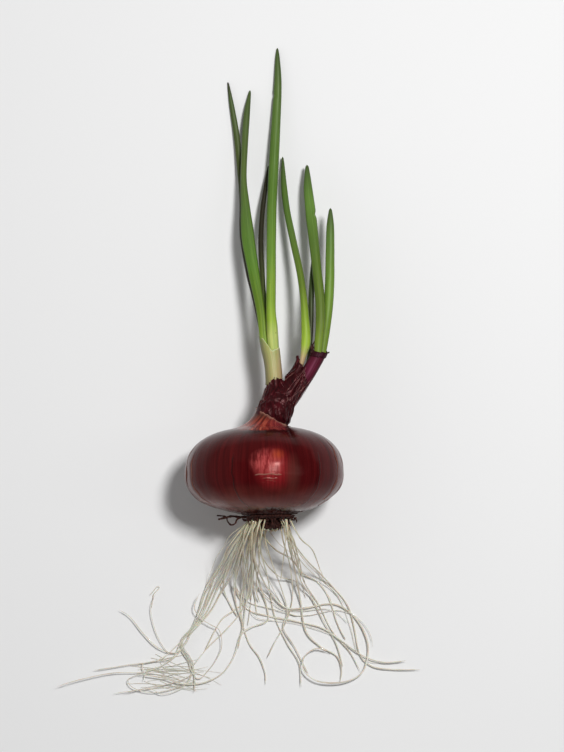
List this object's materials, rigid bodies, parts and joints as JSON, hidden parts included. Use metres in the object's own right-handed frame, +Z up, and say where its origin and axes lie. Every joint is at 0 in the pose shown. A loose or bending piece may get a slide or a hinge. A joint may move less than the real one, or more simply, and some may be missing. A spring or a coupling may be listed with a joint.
{
  "type": "salad onion",
  "caption": "Flat red salad onion with a dried neck, hollow green leaves and a beard of white roots, lying on its side.",
  "frame": {"origin": "middle of the flat spot under the bulb, on the surface that the onion lies on", "axes": "+Y from the bulb towards the leaf tips, +Z up from the surface, +X to the right seen from above with the leaves away from you"},
  "size_m": [0.1847, 0.3313, 0.0767],
  "materials": {
    "bulb_skin": "glossy",
    "dry_neck": "wrinkled, satin",
    "purple_scale": "satin",
    "stalk": "satin",
    "leaf": "satin",
    "leaf_back": "satin",
    "root_plate": "rough",
    "root": "matte"
  },
  "bodies": {
    "root": {"bulb": "bulb_skin", "dry_neck": "dry_neck", "purple_scale": "purple_scale", "left_stalk": "stalk", "leaf_centre": "leaf", "leaf_left_front": "leaf", "leaf_right_inner": "leaf", "leaf_right_tall": "leaf", "leaf_right_short": "leaf", "leaf_left_back": "leaf_back", "leaf_centre_back": "leaf_back", "leaf_right_back": "leaf_back", "root_plate": "root_plate", "roots": "root"}
  },
  "joints": []
}
